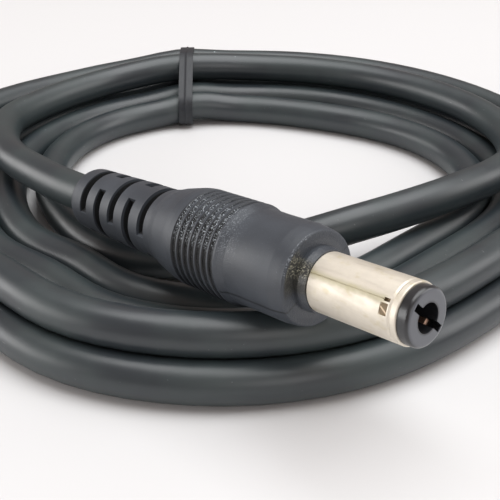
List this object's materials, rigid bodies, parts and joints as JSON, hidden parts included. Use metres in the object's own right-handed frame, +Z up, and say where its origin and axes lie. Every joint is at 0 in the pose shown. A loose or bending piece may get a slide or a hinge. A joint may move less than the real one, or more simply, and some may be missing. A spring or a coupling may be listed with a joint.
{
  "type": "dc barrel plug",
  "caption": "DC barrel plug with a plated sleeve, a forked centre contact, a ribbed moulded grip and a slotted strain relief, on a round lead lying in a tied coil.",
  "frame": {"origin": "on the barrel's axis, where the barrel leaves the moulding's collar", "axes": "+X is the horizontal direction in which the plug points, from the cable towards the tip; the plug's own axis lies 7.5 degrees above it, because the plug lies on its coil; +Z up; +Y to the left of the plug seen from behind it"},
  "size_m": [0.1001, 0.0958, 0.0177],
  "materials": {
    "moulded_pvc": "satin moulded PVC with a fine spark-eroded grain",
    "inner_pvc": "as moulded, out of sight",
    "nickel_plate": "nickel plated, drawn along its length",
    "tip_plastic": "glossy black",
    "contact_copper": "phosphor bronze strip",
    "insulator_plastic": "as moulded, out of sight",
    "solder": "bright solder",
    "tinned_wire": "tinned copper strands",
    "red_insulation": "smooth PVC",
    "black_insulation": "smooth PVC",
    "cable_jacket": "satin extruded PVC",
    "tie_ribbon": "flat plastic ribbon over a wire"
  },
  "bodies": {
    "root": {"overmould": "moulded_pvc", "inner_mould": "inner_pvc", "barrel_sleeve": "nickel_plate", "tip_insulator": "tip_plastic", "centre_contact": "contact_copper", "rear_insulator": "insulator_plastic", "sleeve_terminal": "nickel_plate", "centre_solder": "solder", "sleeve_solder": "solder", "positive_wire": "tinned_wire", "negative_wire": "tinned_wire", "positive_core": "red_insulation", "negative_core": "black_insulation", "cable_end": "cable_jacket", "cable_lead": "cable_jacket", "cable_coil": "cable_jacket", "cable_tail": "cable_jacket", "twist_tie": "tie_ribbon", "positive_core_tail": "red_insulation", "negative_core_tail": "black_insulation", "positive_tip": "tinned_wire", "negative_tip": "tinned_wire"}
  },
  "joints": []
}
